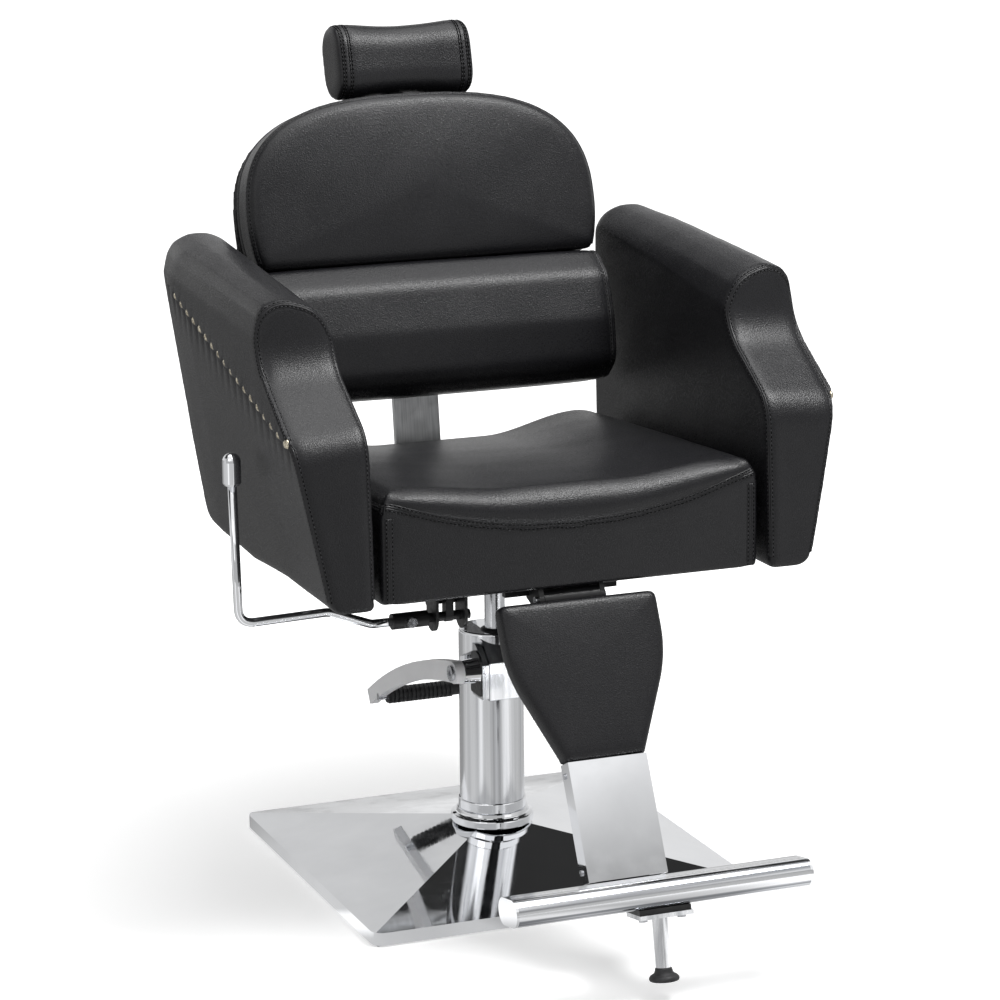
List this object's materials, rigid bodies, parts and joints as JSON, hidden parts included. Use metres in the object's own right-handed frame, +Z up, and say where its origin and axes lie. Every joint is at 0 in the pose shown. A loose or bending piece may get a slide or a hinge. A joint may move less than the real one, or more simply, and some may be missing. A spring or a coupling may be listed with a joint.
{
  "type": "barber chair",
  "caption": "Hydraulic barber chair with a square chrome base, padded arms with nailhead trim, a reclining back linked to a leg rest, a sliding headrest and a side release lever.",
  "frame": {"origin": "on the floor, below the middle of the square base plate", "axes": "+Z up; the sitter faces -Y; the release lever is on the -X side"},
  "size_m": [0.7122, 0.8985, 1.0413],
  "materials": {
    "rubber_mat": "matte",
    "chrome": "polished",
    "brushed_steel": "satin",
    "ground_steel": "satin",
    "zinc_fasteners": "satin",
    "black_steel": "satin",
    "leather": "satin",
    "plywood": "matte",
    "rubber": "matte",
    "black_plastic": "satin",
    "nail_brass": "satin",
    "cast_metal": "satin"
  },
  "bodies": {
    "base": {"base_mat": "rubber_mat", "base_plate": "chrome", "base_bolts": "zinc_fasteners", "base_neck": "chrome", "lock_ring": "chrome", "collar_ring": "chrome", "pump_tube": "chrome", "pump_cylinder": "ground_steel", "pump_head": "chrome", "pump_cap": "chrome", "rod_seal": "rubber", "shaft_gasket": "black_steel"},
    "ram": {"piston_rod": "ground_steel"},
    "pedal": {"pedal_shaft": "ground_steel", "pedal_arm": "chrome", "pedal_bolts": "zinc_fasteners", "pedal_bar": "ground_steel", "pedal_sleeve": "rubber"},
    "plunger": {"pump_plunger": "ground_steel"},
    "seat": {"swivel_hub": "black_steel", "seat_frame": "black_steel", "frame_bolts": "zinc_fasteners", "seat_board": "plywood", "seat_cushion": "leather", "legrest_pin": "ground_steel", "recline_pin": "ground_steel", "lever_ears": "black_steel", "arm_brackets": "black_steel", "arm_left_board": "plywood", "arm_left_pad": "leather", "arm_right_board": "plywood", "arm_right_pad": "leather", "nailheads": "nail_brass", "gas_rod": "ground_steel"},
    "backrest": {"back_bar": "brushed_steel", "back_board": "plywood", "upper_cushion": "leather", "lumbar_cushion": "leather", "back_cover": "leather", "headrest_socket": "black_steel", "back_bolts": "zinc_fasteners"},
    "gas_spring_tube": {"gas_cylinder": "black_steel"},
    "link": {"link_bar": "black_steel"},
    "headrest": {"headrest_bar": "brushed_steel", "headrest_pad": "leather"},
    "clamp_knob": {"headrest_knob": "black_plastic"},
    "legrest": {"legrest_arm": "black_steel", "calf_board": "plywood", "calf_pad": "leather", "foot_channel": "chrome", "foot_bar": "cast_metal", "foot_end_caps": "cast_metal", "support_leg": "chrome", "leg_bolts": "zinc_fasteners"},
    "leg_foot": {"levelling_foot": "rubber"},
    "release_lever": {"release_shaft": "black_steel", "lever_rod": "chrome", "lever_coupling": "black_plastic", "coupling_screw": "zinc_fasteners", "lever_tip": "cast_metal"}
  },
  "joints": [
    {"name": "lift", "type": "slide", "parent": "base", "child": "ram", "axis": [0, 0, 1], "range_m": [-0.01, 0.13]},
    {"name": "pedal_pump", "type": "hinge", "parent": "base", "child": "pedal", "pos_m": [0, -0.045, 0.266], "axis": [-1, 0, 0], "range_deg": [0, 22], "stiffness_Nm_per_rad": 12, "springref_deg": -14.32},
    {"name": "plunger_stroke", "type": "slide", "parent": "base", "child": "plunger", "axis": [0, 0, -1], "range_m": [0, 0.008]},
    {"name": "swivel", "type": "hinge", "parent": "ram", "child": "seat", "pos_m": [0, -0.014, 0.39], "axis": [0, 0, 1], "continuous": true},
    {"name": "recline", "type": "hinge", "parent": "seat", "child": "backrest", "pos_m": [0, 0.215, 0.408], "axis": [-1, 0, 0], "range_deg": [0, 35]},
    {"name": "gas_stroke", "type": "slide", "parent": "seat", "child": "gas_spring_tube", "axis": [0, -1, 0], "range_m": [0, 0.0241]},
    {"name": "link_turn", "type": "hinge", "parent": "backrest", "child": "link", "pos_m": [0.05, 0.215, 0.368], "axis": [-1, 0, 0], "range_deg": [-35, 0]},
    {"name": "leg_raise", "type": "hinge", "parent": "seat", "child": "legrest", "pos_m": [0, -0.258, 0.408], "axis": [-1, 0, 0], "range_deg": [0, 35]},
    {"name": "foot_screw", "type": "hinge", "parent": "legrest", "child": "leg_foot", "pos_m": [0, -0.53095, 0.03256], "axis": [0, 0.1822, 0.9833], "range_deg": [-180, 180]},
    {"name": "headrest_lift", "type": "slide", "parent": "backrest", "child": "headrest", "axis": [0, 0.2588, 0.9659], "range_m": [0, 0.08]},
    {"name": "knob_turn", "type": "hinge", "parent": "backrest", "child": "clamp_knob", "pos_m": [0, 0.319, 0.88943], "axis": [0, 0.9659, -0.2588], "range_deg": [-90, 90]},
    {"name": "release", "type": "hinge", "parent": "seat", "child": "release_lever", "pos_m": [-0.11, -0.06, 0.345], "axis": [-1, 0, 0], "range_deg": [0, 12], "stiffness_Nm_per_rad": 2, "springref_deg": -8.59}
  ],
  "couplings": [
    {"joint": "plunger_stroke", "follows": "pedal_pump", "m_per_rad": 0.0208},
    {"joint": "gas_stroke", "follows": "recline", "m_per_rad": 0.0394},
    {"joint": "link_turn", "follows": "recline", "ratio": -1},
    {"joint": "leg_raise", "follows": "recline", "ratio": 1}
  ]
}
